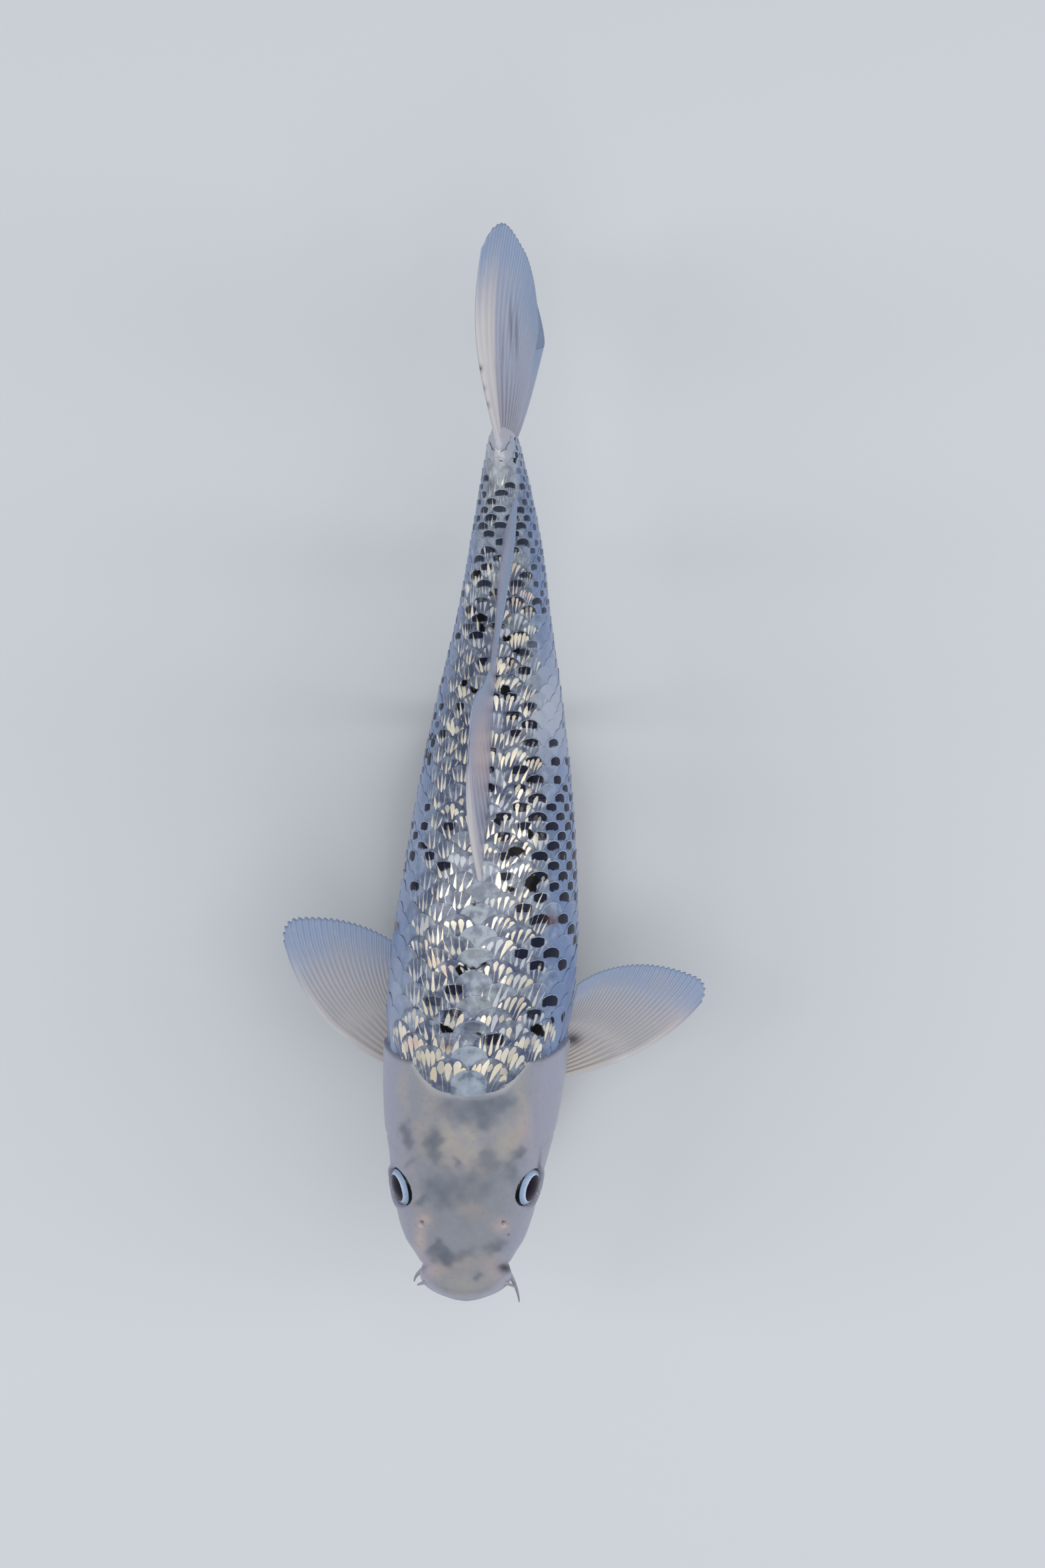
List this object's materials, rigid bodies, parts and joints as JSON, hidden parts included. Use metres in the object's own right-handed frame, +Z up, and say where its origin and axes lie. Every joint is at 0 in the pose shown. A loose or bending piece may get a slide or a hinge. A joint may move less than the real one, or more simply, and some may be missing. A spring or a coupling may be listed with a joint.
{
  "type": "koi carp",
  "caption": "Life-size still model of a koi carp with glittering scales and dark spots, fins half spread, held level on a low oval stand by two rods.",
  "frame": {"origin": "centre of the stand base's flat underside", "axes": "+Z up, head towards -Y and tail towards +Y, the fish's left side towards +X"},
  "size_m": [0.2196, 0.5467, 0.2478],
  "materials": {
    "head_skin": "smooth damp skin",
    "lip_skin": "smooth damp skin",
    "scaled_skin": "pearly overlapping scales",
    "fin_skin": "thin ribbed membrane",
    "eye": "gloss",
    "stand_base": "satin black paint",
    "stand_steel": "brushed"
  },
  "bodies": {
    "root": {"head": "head_skin", "gill_cover_left": "head_skin", "gill_cover_right": "head_skin", "upper_lip": "lip_skin", "lower_jaw": "lip_skin", "barbel_rear_left": "lip_skin", "barbel_rear_right": "lip_skin", "barbel_front_left": "lip_skin", "barbel_front_right": "lip_skin", "eye_left": "eye", "eye_right": "eye", "trunk_front": "scaled_skin", "trunk_middle": "scaled_skin", "trunk_rear": "scaled_skin", "tail_stalk": "scaled_skin", "dorsal_fin": "fin_skin", "anal_fin": "fin_skin", "tail_fin_upper": "fin_skin", "tail_fin_lower": "fin_skin", "pectoral_fin_left": "fin_skin", "pectoral_fin_right": "fin_skin", "pelvic_fin_left": "fin_skin", "pelvic_fin_right": "fin_skin", "stand_base": "stand_base", "stand_rod_front": "stand_steel", "stand_rod_rear": "stand_steel"}
  },
  "joints": []
}
